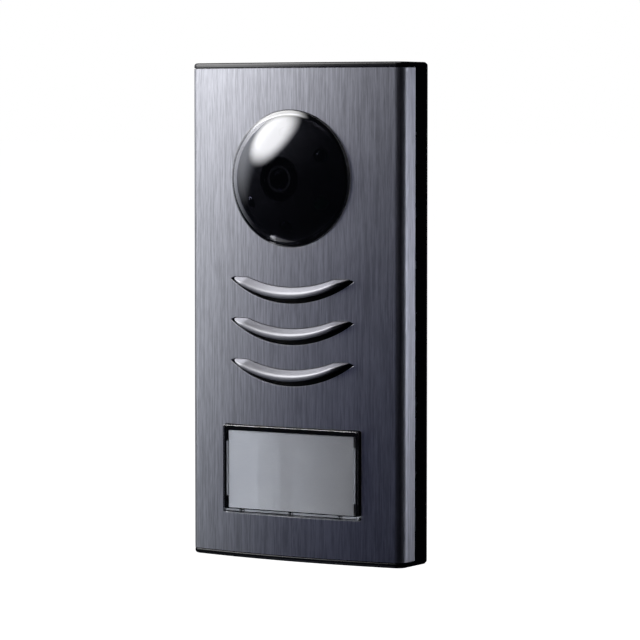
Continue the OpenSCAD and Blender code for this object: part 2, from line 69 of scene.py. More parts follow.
dome_low, dome_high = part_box("camera_dome")
DOME_Z = (dome_low.z + dome_high.z) / 2
DOME_TOP = -dome_low.y
DOME_R = 27 * MM
DOME_GAP = 0.15 * MM

LOUVRE_HALF = 28.7 * MM       # half the width of a louvre
LOUVRE_TIPS = [(13 - 16.4 * i) * MM for i in range(3)]
TOP_SAG = 2.7 * MM            # how far a louvre's upper edge hangs below its tips
TOP_R = 58 * MM
TIP_RISE = 0.93 * MM          # how far the upper edge's shoulders stand above the tips
TIP_SLOPE = 0.42              # slope from a shoulder down to its tip
LOW_SAG = 9.3 * MM            # how far the lower edge hangs below the tips
LIP_GAP = 2.1 * MM            # height of the gap under a hood's lip
HOOD_TOP = 27.2 * MM          # depth of a hood's ridge
HOOD_HALF = 27 * MM
HOOD_END_R = 7 * MM

window_low, window_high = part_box("button_window")
BUTTON_GAP = 0.3 * MM
WINDOW_Z = (window_low.z + window_high.z) / 2
WINDOW_W = window_high.x - window_low.x + 2 * BUTTON_GAP
WINDOW_H = window_high.z - window_low.z + 2 * BUTTON_GAP
WINDOW_CORNER_R = 0.8 * MM
RIB_X = 29.85 * MM            # middle of the ribs at the sides of the button's window
RIB_H = 22 * MM
SLOT_XS = [-23 * MM, 0, 23 * MM]

SPRING_X = 27 * MM
SPRING_R = 2.7 * MM
SPRING_WIRE = 0.3 * MM        # radius of the wire
SPRING_TURNS = 4.5
SPRING_FOOT = 8.6 * MM        # depth of the springs' fixed ends
SPRING_LENGTH = 6.6 * MM

# ---- the bowed section ----------------------------------------------------------------------

EDGE_CX = HALF_W - EDGE_R
ARC_CY = FRONT_R - CROWN
EDGE_CY = ARC_CY - math.sqrt((FRONT_R - EDGE_R) ** 2 - EDGE_CX ** 2)
EDGE_ANGLE = math.asin(EDGE_CX / (FRONT_R - EDGE_R))
S_BOW = FRONT_R * EDGE_ANGLE
S_EDGE = S_BOW + EDGE_R * (math.pi / 2 - EDGE_ANGLE)


def section(s, inset=0.0):
    """Point (x, y) and normal (nx, ny) at arc length s from the crown, set in by inset."""
    side, s = math.copysign(1, s), abs(s)
    if s <= S_EDGE:
        if s <= S_BOW:
            t, r, cx, cy = s / FRONT_R, FRONT_R, 0.0, ARC_CY
        else:
            t, r, cx, cy = EDGE_ANGLE + (s - S_BOW) / EDGE_R, EDGE_R, EDGE_CX, EDGE_CY
        x, y = cx + (r - inset) * math.sin(t), cy - (r - inset) * math.cos(t)
        return side * x, y, side * math.sin(t), -math.cos(t)
    return side * (HALF_W - inset), EDGE_CY + s - S_EDGE, side, 0.0


def s_at(x):
    """Arc length at which the bowed front reaches x."""
    return FRONT_R * math.asin(x / FRONT_R)


def surface(s, z, drop=0.0):
    """Point and normal of the front at arc length s and height z, drop below its outside."""
    x, y, nx, ny = section(s)
    return Vector((x - nx * drop, y - ny * drop, z)), Vector((nx, ny, 0))


# ---- meshes ---------------------------------------------------------------------------------

def link(name, mesh, body, slot, replaced):
    """Makes a piece of the mesh, with the slot's material, which stands for the replaced nodes."""
    piece = bpy.data.objects.new(name, mesh)
    bpy.context.scene.collection.objects.link(piece)
    piece.data.materials.append(MATERIALS[slot])
    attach(piece, body)
    if replaced:
        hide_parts(*replaced)
    return piece


def from_bmesh(name, bm, body, slot, replaced=(), sharp=35):
    """Makes a piece of bm, smooth except across edges sharper than the angle."""
    bmesh.ops.remove_doubles(bm, verts=bm.verts, dist=1e-7)
    bmesh.ops.recalc_face_normals(bm, faces=bm.faces)
    for face in bm.faces:
        face.smooth = True
    for edge in bm.edges:
        if len(edge.link_faces) == 2 and edge.calc_face_angle(0) > math.radians(sharp):
            edge.smooth = False
    mesh = bpy.data.meshes.new(name)
    bm.to_mesh(mesh)
    bm.free()
    return link(name, mesh, body, slot, replaced)


def from_faces(name, faces, body, slot, replaced):
    """Makes a piece of faces whose corners are (point, normal); equal corners are joined."""
    same_point, same_normal = 1e-8, 0.05
    index, points, polygons, normals = {}, [], [], []
    for face in faces:
        corners = {}
        for point, normal in face:
            place = tuple(round(c / same_point) for c in point)
            key = place, tuple(round(c / same_normal) for c in normal)
            if key not in index:
                index[key] = len(points)
                points.append(point)
            corners.setdefault(place, (index[key], normal))
        if len(corners) > 2:
            polygons.append([i for i, _ in corners.values()])
            normals.extend(normal for _, normal in corners.values())
    mesh = bpy.data.meshes.new(name)
    mesh.from_pydata(points, [], polygons)
    mesh.polygons.foreach_set("use_smooth", [True] * len(polygons))
    mesh.normals_split_custom_set(normals)
    return link(name, mesh, body, slot, replaced)


def flat(points):
    """A face whose corners share the face's own normal."""
    normal = (points[1] - points[0]).cross(points[2] - points[0]).normalized()
    return [(p, normal) for p in points]


def within(x, z, loop):
    """Whether a point lies inside a closed contour."""
    odd = False
    for (ax, az), (bx, bz) in zip(loop, loop[1:] + loop[:1]):
        if (az > z) != (bz > z) and x < ax + (bx - ax) * (z - az) / (bz - az):
            odd = not odd
    return odd


def fill(border, holes, spare=()):
    """Triangles inside a contour and outside its holes, as points and each one's corners."""
    points, edges = [], []
    for loop in [border, *holes]:
        first, n = len(points), len(loop)
        points.extend(loop)
        edges.extend((first + i, first + (i + 1) % n) for i in range(n))
    points.extend(spare)
    inside_only, nearest = 1, 1e-9
    made, _, faces, *_ = geometry.delaunay_2d_cdt([Vector(p) for p in points], edges, [],
                                                  inside_only, nearest)
    triangles = []
    for face in faces:
        x, z = (sum(made[i][axis] for i in face) / 3 for axis in (0, 1))
        if not any(within(x, z, hole) for hole in holes):
            triangles.append(face)
    return [tuple(p) for p in made], triangles


def add_strip(bm, rows, closed_rows=False, closed=False):
    """Quads between successive rows of points; closed_rows joins each row's ends, closed the rows."""
    grid = [[bm.verts.new(p) for p in row] for row in rows]
    for a, b in zip(grid, grid[1:] + grid[:1] if closed else grid[1:]):
        n = len(a)
        for i in range(n if closed_rows else n - 1):
            bm.faces.new((a[i], a[(i + 1) % n], b[(i + 1) % n], b[i]))
    return grid


def lathe(bm, profile, z, segments):
    """Turns a closed profile of (radius, depth) around the axis through (0, z)."""
    turns = [2 * math.pi * i / segments for i in range(segments)]
    rows = [[Vector((max(radius, 0) * math.cos(a), -depth, z + max(radius, 0) * math.sin(a)))
             for a in turns] for radius, depth in profile]
    add_strip(bm, rows, closed_rows=True, closed=True)
    bmesh.ops.remove_doubles(bm, verts=bm.verts, dist=1e-7)
    bmesh.ops.dissolve_degenerate(bm, edges=bm.edges, dist=1e-8)


def arc_points(cx, cy, r, start, end, count):
    """Points on an arc, angles in degrees."""
    return [(cx + r * math.cos(math.radians(start + (end - start) * i / count)),
             cy + r * math.sin(math.radians(start + (end - start) * i / count)))
            for i in range(count + 1)]


def smooth_line(points, steps):
    """Catmull-Rom curve through the points."""
    ends = [points[0]] + list(points) + [points[-1]]
    out = []
    for a, b, c, d in zip(ends, ends[1:], ends[2:], ends[3:]):
        for i in range(steps):
            t = i / steps
            out.append(tuple(
                0.5 * (2 * q + (r - p) * t + (2 * p - 5 * q + 4 * r - s) * t * t
                       + (3 * q - p - 3 * r + s) * t ** 3)
                for p, q, r, s in zip(a, b, c, d)))
    return out + [points[-1]]


def outward(contour):
    """Unit normals of a closed (x, z) contour that runs anticlockwise, pointing outwards."""
    n = len(contour)
    normals = []
    for i in range(n):
        (ax, az), (bx, bz) = contour[i - 1], contour[(i + 1) % n]
        length = math.hypot(bx - ax, bz - az)
        normals.append(((bz - az) / length, (ax - bx) / length))
    return normals


# ---- outlines of the openings ---------------------------------------------------------------

def top_edge(x):
    """Upper edge of a louvre, with its tips at 0: an arc between two soft shoulders."""
    x = min(abs(x), LOUVRE_HALF)
    lines = (TOP_R - TOP_SAG - math.sqrt(TOP_R ** 2 - x * x), TIP_RISE, (LOUVRE_HALF - x) * TIP_SLOPE)
    soft = 0.12 * MM
    return -soft * math.log(sum(math.exp(-z / soft) for z in lines)) if x < LOUVRE_HALF else 0.0


def low_edge(x):
    """Lower edge of a louvre's opening, with its tips at 0."""
    r = (LOUVRE_HALF ** 2 + LOW_SAG ** 2) / (2 * LOW_SAG)
    return r - LOW_SAG - math.sqrt(r * r - min(abs(x), LOUVRE_HALF) ** 2)


def hood_depth(x):
    """Depth of a hood's ridge: level, and rounded down into the panel at its tips."""
    over = max(0.0, abs(x) - (HOOD_HALF - HOOD_END_R))
    return HOOD_TOP - HOOD_END_R + math.sqrt(max(0.0, HOOD_END_R ** 2 - over ** 2))


def along_louvre(count):
    """x from one tip to the other, closer together near the tips."""
    return [LOUVRE_HALF * math.sin(math.pi / 2 * (2 * i / count - 1)) for i in range(count + 1)]


def louvre_outline(z_tip):
    """Closed outline of the louvre opening whose tips are at z_tip."""
    xs = along_louvre(64)
    low = [(x, z_tip + low_edge(x)) for x in xs]
    top = [(x, z_tip + top_edge(x)) for x in reversed(xs[1:-1])]
    return low + top


def round_rect(w, h, r, z):
    """Rectangle with round corners, centred on (0, z)."""
    points = []
    for cx, cz, start in ((w / 2 - r, -h / 2 + r, -90), (w / 2 - r, h / 2 - r, 0),
                          (-w / 2 + r, h / 2 - r, 90), (-w / 2 + r, -h / 2 + r, 180)):
        points += arc_points(cx, cz + z, r, start, start + 90, 6)
    return points


def resample(contour, longest):
    """Splits the contour's long straight stretches."""
    out = []
    for (ax, az), (bx, bz) in zip(contour, contour[1:] + contour[:1]):
        count = max(1, math.ceil(math.hypot(bx - ax, bz - az) / longest))
        out += [(ax + (bx - ax) * i / count, az + (bz - az) * i / count) for i in range(count)]
    return out


# ---- materials ------------------------------------------------------------------------------

class Shader:
    """A material being built: a Principled node and short ways to add nodes to it."""

    def __init__(self, name, colour, roughness, **values):
        self.material = bpy.data.materials.new(name)
        self.material.use_nodes = True
        self.nodes = self.material.node_tree.nodes
        self.links = self.material.node_tree.links
        self.bsdf = self.nodes["Principled BSDF"]
        self.coords = self.nodes.new("ShaderNodeTexCoord").outputs["Object"]
        self.bsdf.inputs["Base Color"].default_value = (*colour, 1)
        self.bsdf.inputs["Roughness"].default_value = roughness
        for key, value in values.items():
            self.bsdf.inputs[key.replace("_", " ").title()].default_value = value

    def add(self, kind, links=(), **values):
        """Adds a node; links are (input, number or output) pairs and values are its settings."""
        node = self.nodes.new(kind)
        for key, value in values.items():
            setattr(node, key, value)
        for socket, source in links:
            if isinstance(source, (int, float, tuple)):
                node.inputs[socket].default_value = source
            else:
                self.links.new(source, node.inputs[socket])
        return node

    def stretched(self, scale):
        """Object coordinates, scaled by a factor for each axis."""
        return self.add("ShaderNodeMapping", [("Vector", self.coords), ("Scale", scale)]).outputs[0]

    def noise(self, vector, scale=1.0, detail=3.0, roughness=0.55):
        return self.add("ShaderNodeTexNoise", [("Vector", vector), ("Scale", scale),
                        ("Detail", detail), ("Roughness", roughness)]).outputs["Fac"]

    def ramp(self, source, low, high, out_low, out_high):
        """Maps source from low..high to out_low..out_high."""
        return self.add("ShaderNodeMapRange", [("Value", source), ("From Min", low),
                        ("From Max", high), ("To Min", out_low), ("To Max", out_high)]).outputs[0]

    def mix(self, factor, a, b):
        """Colour between a and b."""
        node = self.add("ShaderNodeMix", data_type="RGBA")
        for socket, source in ((node.inputs[0], factor), (node.inputs[6], a), (node.inputs[7], b)):
            if isinstance(source, tuple):
                socket.default_value = (*source, 1)
            else:
                self.links.new(source, socket)
        return node.outputs[2]

    def drive(self, socket, source):
        """Feeds an input of the Principled node."""
        self.links.new(source, self.bsdf.inputs[socket])

    def bump(self, height, strength, distance):
        """Raises the surface by height, at most by the distance."""
        node = self.add("ShaderNodeBump", [("Height", height), ("Strength", strength),
                        ("Distance", distance)])
        self.links.new(node.outputs[0], self.bsdf.inputs["Normal"])


def brushed_metal(name, colour, roughness, streak):
    """Metal with fine streaks that run up and down."""
    swing, gloss_swing = 0.2, 0.012
    m = Shader(name, colour, roughness, metallic=1.0, anisotropic=0.75)
    tangent = m.add("ShaderNodeTangent", direction_type="RADIAL", axis="Z")
    m.drive("Tangent", tangent.outputs[0])
    fine = m.noise(m.stretched((2600, 2600, 150)), detail=4.0, roughness=0.6)
    coarse = m.noise(m.stretched((1300, 1300, 40)), detail=3.0)
    dark = tuple(c * (1 - swing) for c in colour)
    light = tuple(min(1, c * (1 + swing)) for c in colour)
    both = m.add("ShaderNodeMath", [(0, fine), (1, coarse)], operation="ADD").outputs[0]
    m.drive("Base Color", m.mix(m.ramp(both, 0.8, 1.2, 0, 1), dark, light))
    m.drive("Roughness", m.ramp(coarse, 0.3, 0.7, roughness - gloss_swing, roughness + gloss_swing))
    m.bump(fine, streak, 0.02 * MM)
    return m.material


def moulded(name, colour, roughness, grain=0.12, size=3500, specular=0.5):
    """Plastic or rubber with a fine moulded texture and a slight change of gloss."""
    m = Shader(name, colour, roughness)
    m.bsdf.inputs["Specular IOR Level"].default_value = specular
    texture = m.noise(m.coords, scale=size, detail=2.0)
    cloud = m.noise(m.coords, scale=90, detail=3.0)
    lighter = tuple(min(1, c * 1.35 + 0.002) for c in colour)
    darker = tuple(c * 0.8 for c in colour)
    m.drive("Base Color", m.mix(m.ramp(cloud, 0.3, 0.7, 0, 1), darker, lighter))
    m.drive("Roughness", m.ramp(cloud, 0.3, 0.7, max(0.02, roughness - 0.05), roughness + 0.05))
    m.bump(texture, grain, 0.03 * MM)
    return m.material


def plated(name, colour, roughness=0.32):
    """Plated or drawn steel, with a faint cloudiness."""
    m = Shader(name, colour, roughness, metallic=1.0)
    cloud = m.noise(m.coords, scale=160, detail=1.0)
    darker = tuple(c * 0.92 for c in colour)
    m.drive("Base Color", m.mix(m.ramp(cloud, 0.2, 0.8, 0, 1), darker, colour))
    m.drive("Roughness", m.ramp(cloud, 0.2, 0.8, roughness, roughness + 0.04))
    return m.material


def clear(name, colour, roughness, ior=1.5, ripple=0.0, shine=0.0):
    """Transparent plastic or glass, with a trace of moulding ripple and a hard coat."""
    m = Shader(name, colour, roughness, transmission_weight=1.0, coat_weight=shine)
    m.bsdf.inputs["IOR"].default_value = ior
    m.bsdf.inputs["Specular IOR Level"].default_value = 0.5 + shine / 2
    m.bsdf.inputs["Coat IOR"].default_value = 2.0
    waves = m.noise(m.coords, scale=160, detail=1.0)
    m.bump(waves, ripple, 0.02 * MM)
    return m.material


def circuit_board(name):
    """Green solder mask over copper tracks."""
    m = Shader(name, (0.01, 0.09, 0.04), 0.3)
    cells = m.add("ShaderNodeTexVoronoi", [("Vector", m.stretched((260, 260, 260)))],
                  distance="MANHATTAN").outputs["Distance"]
    tracks = m.ramp(cells, 0.30, 0.34, 0, 1)
    m.drive("Base Color", m.mix(tracks, (0.02, 0.16, 0.07), (0.008, 0.07, 0.03)))
    m.bump(tracks, 0.2, 0.04 * MM)
    return m.material


def label_sheet(name):
    """Grey card, faintly mottled and fibrous."""
    m = Shader(name, (0.9, 0.9, 0.94), 0.48, metallic=0.5)
    cloud = m.noise(m.stretched((60, 60, 110)), detail=3.0)
    fibre = m.noise(m.coords, scale=2400, detail=3.0)
    mottle = m.ramp(cloud, 0.3, 0.7, 0, 1)
    m.drive("Base Color", m.mix(mottle, (0.86, 0.86, 0.9), (0.94, 0.94, 0.97)))
    m.bump(fibre, 0.08, 0.02 * MM)
    return m.material


def acoustic_mesh(name):
    """Fine black woven mesh."""
    m = Shader(name, (0.008, 0.008, 0.009), 0.7)
    weave = m.add("ShaderNodeTexWave", [("Vector", m.stretched((1, 1, 1))), ("Scale", 700.0)],
                  bands_direction="DIAGONAL").outputs["Fac"]
    m.drive("Base Color", m.mix(weave, (0.004, 0.004, 0.005), (0.016, 0.016, 0.018)))
    m.bump(weave, 0.3, 0.05 * MM)
    return m.material


MATERIALS = {
    "brushed_front": brushed_metal("brushed_front", (0.62, 0.62, 0.66), 0.34, 0.18),
    "black_plastic": moulded("black_plastic", (0.002, 0.002, 0.003), 0.26, 0.06, specular=0.9),
    "inner_plastic": moulded("inner_plastic", (0.012, 0.012, 0.013), 0.55, 0.25),
    "shroud_plastic": moulded("shroud_plastic", (0.01, 0.01, 0.013), 0.4, 0.06, specular=0.8),
    "gloss_black": moulded("gloss_black", (0.004, 0.004, 0.006), 0.2, 0.03),
    "black_rubber": moulded("black_rubber", (0.008, 0.008, 0.008), 0.75, 0.35, size=2200),
    "zinc_steel": plated("zinc_steel", (0.62, 0.63, 0.65)),
    "screw_steel": plated("screw_steel", (0.5, 0.5, 0.53), 0.3),
    "spring_steel": plated("spring_steel", (0.6, 0.6, 0.6), 0.25),
    "satin_silver": plated("satin_silver", (0.44, 0.44, 0.47), 0.42),
    "acoustic_mesh": acoustic_mesh("acoustic_mesh"),
    "speaker_film": moulded("speaker_film", (0.07, 0.07, 0.08), 0.35),
    "smoked_dome": clear("smoked_dome", (0.3, 0.3, 0.36), 0.0, 1.8, shine=1.0),
    "led_clear": clear("led_clear", (0.8, 0.82, 0.9), 0.03, shine=1.0),
    "lens_glass": clear("lens_glass", (0.35, 0.38, 0.6), 0.0, 1.6),
    "circuit_board": circuit_board("circuit_board"),
    "chip_black": moulded("chip_black", (0.02, 0.02, 0.02), 0.6, 0.3, size=5000),
    "capacitor_sleeve": moulded("capacitor_sleeve", (0.02, 0.03, 0.14), 0.25),
    "relay_case": moulded("relay_case", (0.03, 0.12, 0.42), 0.3),
    "terminal_green": moulded("terminal_green", (0.02, 0.22, 0.08), 0.45),
    "white_plastic": moulded("white_plastic", (0.78, 0.78, 0.76), 0.4),
    "label_sheet": label_sheet("label_sheet"),
    "clear_cover": clear("clear_cover", (0.94, 0.95, 0.97), 0.02, ripple=0.02, shine=1.0),
}

# Has no slot of its own: light grey paint for the glints of the clear cover's foot and ribs, a painted
# highlight in place of the light they refract.
GLINT_PAINT = moulded("painted_glint_plastic", (0.6, 0.62, 0.68), 0.2, 0.1)

# The CAD nodes keep their shapes, and get these materials and smooth faces between their edges.
for part in frame["record"]["subparts"]:
    node = frame["nodes"][part["node"]]
    node.data.materials.clear()
    node.data.materials.append(MATERIALS[part["material_slot"]])
    node.data.polygons.foreach_set("use_smooth", [True] * len(node.data.polygons))
    node.data.set_sharp_from_angle(angle=math.radians(28))


# ---- brushed front --------------------------------------------------------------------------

def moved_out(hole, normals, by):
    """A hole's contour, moved outwards by a distance."""
    return [(x + by * nx, z + by * nz) for (x, z), (nx, nz) in zip(hole, normals)]


def rim_ring(hole, normals, turn, drop):
    """One ring of a hole's rounded rim; turn is 0 on the outside and 90 degrees in the hole."""
    ring = []
    for (x, z), (nx, nz) in zip(moved_out(hole, normals, RIM * (1 - math.sin(turn))), normals):
        point, up = surface(s_at(x), z, drop)
        inwards = Vector((nx * up.y, -nx * up.x, -nz)).normalized()
        ring.append((point, up * math.cos(turn) + inwards * math.sin(turn)))
    return ring


def make_front_cover():
    """The metal front: a bowed sheet with rounded rims around its openings, and its inside."""
    side_end = S_EDGE - METAL_BACK - EDGE_CY
    holes = [arc_points(0, DOME_Z, DOME_R + DOME_GAP, 0, 360, 160)[:-1],
             resample(round_rect(WINDOW_W, WINDOW_H, WINDOW_CORNER_R, WINDOW_Z), 1.5 * MM)]
    holes += [louvre_outline(z) for z in LOUVRE_TIPS]
    rims = [(hole, outward(hole)) for hole in holes]
    loops = [[(s_at(x), z) for x, z in moved_out(*rim, RIM)] for rim in rims]

    # Arc lengths and heights of the sheet's grid of points: the bowed front, its edges, its sides
    bow_steps, edge_steps, height_steps = 28, 12, 34
    columns = [S_BOW * i / bow_steps for i in range(bow_steps + 1)]
    columns += [S_BOW + (S_EDGE - S_BOW) * (i + 1) / edge_steps for i in range(edge_steps)]
    columns += [S_EDGE + 0.6 * (side_end - S_EDGE), side_end]
    columns = [-s for s in reversed(columns[1:])] + columns
    rows = [METAL_HALF * i / height_steps for i in range(-height_steps, height_steps + 1)]
    border = [(s, -METAL_HALF) for s in columns[:-1]] + [(side_end, z) for z in rows[:-1]]
    border += [(s, METAL_HALF) for s in reversed(columns[1:])]
    border += [(-side_end, z) for z in reversed(rows[1:])]
    kept_clear = [moved_out(*rim, 3 * RIM) for rim in rims]
    spare = [(s, z) for s in columns[1:-1] for z in rows[1:-1]
             if not any(within(section(s)[0], z, loop) for loop in kept_clear)]
    made, triangles = fill(border, loops, spare)

    faces = []
    for face in triangles:
        outer = [surface(*made[i]) for i in face]
        inner = [surface(*made[i], METAL_T) for i in reversed(face)]
        faces.append(outer)
        faces.append([(point, -normal) for point, normal in inner])
    for here, there in zip(border, border[1:] + border[:1]):
        faces.append(flat([surface(*there)[0], surface(*here)[0],
                           surface(*here, METAL_T)[0], surface(*there, METAL_T)[0]]))
    turns = [math.radians(22.5 * i) for i in range(5)]
    backwards = Vector((0, 1, 0))
    for rim in rims:
        rings = [rim_ring(*rim, turn, RIM * (1 - math.cos(turn))) for turn in turns]
        rings.append(rim_ring(*rim, turns[-1], METAL_T))
        inner = [(surface(s_at(x), z, METAL_T)[0], backwards) for x, z in moved_out(*rim, RIM)]
        for a, b in zip(rings, rings[1:] + [inner]):
            for i in range(len(a)):
                j = (i + 1) % len(a)
                quad = [a[i], a[j], b[j], b[i]]
                faces.append([(p, backwards) for p, _ in quad] if b is inner else quad)
    from_faces("front_cover_metal", faces, "panel", "brushed_front", ["front_cover"])


# ---- louvres --------------------------------------------------------------------------------

# Across a hood, from its upper edge to under its lip: (share of the width, share of the rise)
HOOD_PROFILE = [(0, -0.08), (0.03, 0.04), (0.15, 0.29), (0.3, 0.57), (0.42, 0.78), (0.52, 0.91),
                (0.61, 0.98), (0.72, 1.0), (0.88, 0.99), (0.96, 0.95), (1.0, 0.86), (0.99, 0.5),
                (0.97, -0.1)]


def make_louvre_hoods():
    """Three silver hoods, each a rolled crescent that dips into the panel at its tips."""
    bm = bmesh.new()
    profile = smooth_line(HOOD_PROFILE, 5)
    gap = 0.08 * MM               # between a hood and the metal's upper edge
    root = 3.4 * MM               # how far it reaches below the metal's outside
    set_back = 0.12 * MM          # of its profile, so that its tips end below the metal's outside
    lip_inset = 0.93              # share of its height down to which its root reaches
    step = 0.02 * MM
    end = LOUVRE_HALF
    while top_edge(end) - gap - low_edge(end) < LIP_GAP + step:
        end -= step
    for tip in LOUVRE_TIPS:
        rows = []
        for x in along_louvre(96):
            x *= end / LOUVRE_HALF
            top, lip = top_edge(x) - gap, low_edge(x) + LIP_GAP
            rise = hood_depth(x) + section(s_at(x))[1]
            row = [surface(s_at(x), tip + top + (lip - top) * across, set_back - rise * up)[0]
                   for across, up in profile]
            row.append(surface(s_at(x), tip + top + (lip - top) * lip_inset, root)[0])
            row.append(surface(s_at(x), tip + top, root)[0])
            rows.append(row)
        grid = add_strip(bm, rows, closed_rows=True)
        bm.faces.new(grid[0])
        bm.faces.new(list(reversed(grid[-1])))
    from_bmesh("louvre_hoods", bm, "panel", "satin_silver", ["louvre_insert"], sharp=50)


# ---- end caps -------------------------------------------------------------------------------

def make_end_cap(end, node, bores):
    """Moulded end cap with a rounded edge and a shadow line towards the metal.

    end is +1 or -1; a bore is (x, depth, radius at the face, radius below, how deep).
    """
    low, high = METAL_HALF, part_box("top_cap")[1].z
    neck, neck_top = 0.5 * MM, METAL_HALF + 0.3 * MM     # inset and outer end of the shadow line
    rim, soft = 0.3 * MM, 1.2 * MM                       # rounding next to it and at the outer end
    side_end = S_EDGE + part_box("top_cap")[1].y - EDGE_CY
    bow_steps, edge_steps = 40, 10
    line = [S_BOW * i / bow_steps for i in range(bow_steps + 1)]
    line += [S_BOW + (S_EDGE - S_BOW) * (i + 1) / edge_steps for i in range(edge_steps)] + [side_end]
    line = [-s for s in reversed(line[1:])] + line

    def ring(inset, z, tilt=0.0):
        """The cap's outline at height z, with normals tilted towards its end."""
        out = []
        for s in line:
            x, y, nx, ny = section(s, inset)
            out.append((Vector((x, y, end * z)),
                        Vector((nx * math.cos(tilt), ny * math.cos(tilt), end * math.sin(tilt)))))
        return out

    rings = [[ring(neck, low), ring(neck, neck_top)],
             [ring(neck, neck_top, -math.pi / 2), ring(rim, neck_top, -math.pi / 2)],
             [ring(rim * (1 - math.cos(t)), neck_top + rim * (1 + math.sin(t)), t)
              for t in (math.radians(15 * i) for i in range(-6, 1))]
             + [ring(soft * (1 - math.cos(t)), high - soft + soft * math.sin(t), t)
                for t in (math.radians(15 * i) for i in range(1, 7))]]
    faces = []
    for group in rings:
        for a, b in zip(group, group[1:]):
            for i in range(len(a) - 1):
                quad = [a[i], a[i + 1], b[i + 1], b[i]]
                faces.append(quad if end > 0 else quad[::-1])
            if group is not rings[1]:
                back = [a[-1][0], a[0][0], b[0][0], b[-1][0]]
                faces.append(flat(back if end > 0 else back[::-1]))
    up = Vector((0, 0, end))
    border = [(p.x, p.y) for p, _ in rings[-1][-1]]
    holes = [arc_points(x, -depth, r, 0, 360, 40)[:-1] for x, depth, r, _, _ in bores]
    made, triangles = fill(border, holes)
    for face in triangles:
        corners = [(Vector((*made[i], end * high)), up) for i in face]
        faces.append(corners if end > 0 else corners[::-1])
    for hole, (x, depth, r, r_low, deep) in zip(holes, bores):
        lower = [(x + (a - x) * r_low / r, -depth + (b + depth) * r_low / r) for a, b in hole]
        for i in range(len(hole)):
            j = (i + 1) % len(hole)
            wall = [Vector((*hole[j], end * high)), Vector((*hole[i], end * high)),
                    Vector((*lower[i], end * (high - deep))), Vector((*lower[j], end * (high - deep)))]
            faces.append(flat(wall[::-1] if end > 0 else wall))
        floor = [Vector((a, b, end * (high - deep))) for a, b in lower]
        faces.append([(p, up) for p in (floor if end > 0 else floor[::-1])])
    base = [(p, -up) for p, _ in rings[0][0]]
    faces.append(base[::-1] if end > 0 else base)
    return from_faces(node + "_moulding", faces, "panel", "black_plastic", [node])


# ---- camera dome ----------------------------------------------------------------------------

BEVEL_DEPTH = 25.4 * MM       # where the polished cap meets the bevel
SIDE_DEPTH = 24.3 * MM        # where the bevel meets the straight side
CAP_BASE = DOME_R - 1.7 * MM  # radius of the cap there
DOME_WALL = 1.6 * MM
BALL = (CAP_BASE ** 2 + (DOME_TOP - BEVEL_DEPTH) ** 2) / (2 * (DOME_TOP - BEVEL_DEPTH))
BALL_DEPTH = DOME_TOP - BALL


def make_dome():
    """The smoked dome: a polished cap, a bevelled rim and a flange behind the metal."""
    inner = BALL - DOME_WALL
    inner_r = DOME_R - 1.8 * MM
    base = math.degrees(math.acos(CAP_BASE / BALL))
    inner_base = math.degrees(math.acos(inner_r / inner))
    flange_r, flange_low, flange_high = 30 * MM, 18.4 * MM, 19.9 * MM
    edge, edge_depth = 0.3 * MM, SIDE_DEPTH - 0.25 * MM
    outer = [(inner_r, flange_low), (flange_r, flange_low), (flange_r, flange_high),
             (DOME_R, flange_high), (DOME_R, edge_depth)]
    outer += arc_points(DOME_R - edge, edge_depth, edge, 12, 48, 3)
    outer += [(CAP_BASE + 0.25 * MM, BEVEL_DEPTH - 0.12 * MM)]    # softens the bevel's inner edge
    outer += arc_points(0, BALL_DEPTH, BALL, base, 90, 48)[:-1] + [(0, DOME_TOP)]
    back = [(0, BALL_DEPTH + inner)] + arc_points(0, BALL_DEPTH, inner, 90, inner_base, 40)[1:]
    bm = bmesh.new()
    lathe(bm, outer + back, DOME_Z, 192)
    dome = from_bmesh("dome_shell", bm, "panel", "smoked_dome", ["camera_dome"], sharp=25)
    dome.visible_shadow = False
    return dome


# ---- call button ----------------------------------------------------------------------------

def rectangle(w, h, x, z):
    """Rectangle centred on (x, z), anticlockwise."""
    return [(x + side * w / 2, z + up * h / 2) for side, up in ((1, -1), (1, 1), (-1, 1), (-1, -1))]


